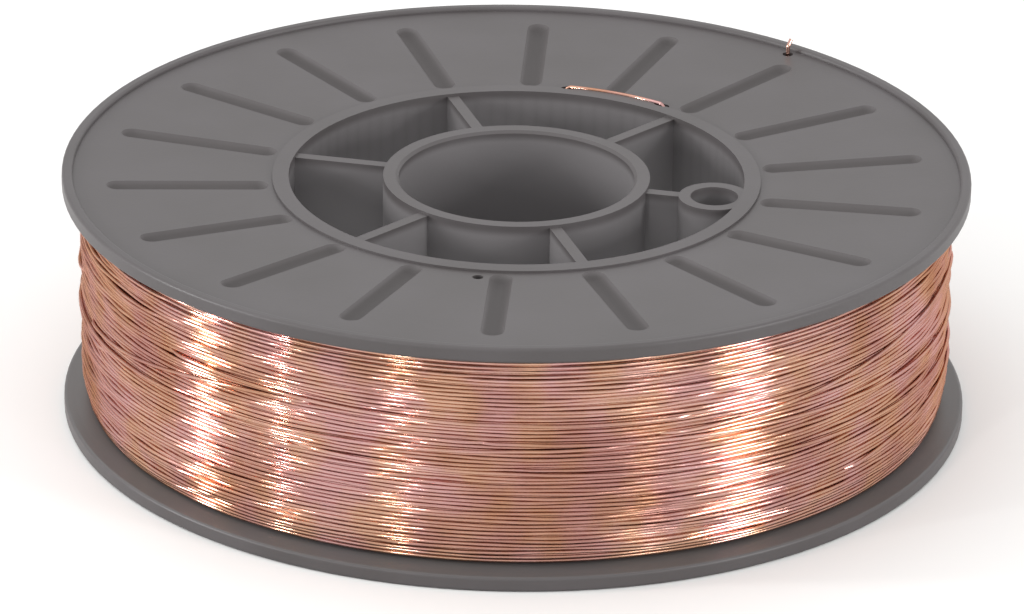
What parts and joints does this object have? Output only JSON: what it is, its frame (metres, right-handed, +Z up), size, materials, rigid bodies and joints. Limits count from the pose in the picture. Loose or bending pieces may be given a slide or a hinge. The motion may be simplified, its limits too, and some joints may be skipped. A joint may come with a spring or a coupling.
{
  "type": "spool of welding wire",
  "caption": "Full spool of copper-coated welding wire: a flanged plastic spool with a webbed hub and driving hole, wound with thin wire.",
  "frame": {"origin": "where the spool's axis meets the surface that it lies on", "axes": "+Z up along the spool's axis; +X to the right and +Y away from the viewer as in the picture"},
  "size_m": [0.2, 0.2, 0.0586],
  "materials": {
    "spool_plastic": "moulded polystyrene, satin",
    "coppered_wire": "drawn steel wire with a thin bright copper coat"
  },
  "bodies": {
    "root": {"spool": "spool_plastic", "welding_wire": "coppered_wire"}
  },
  "joints": []
}
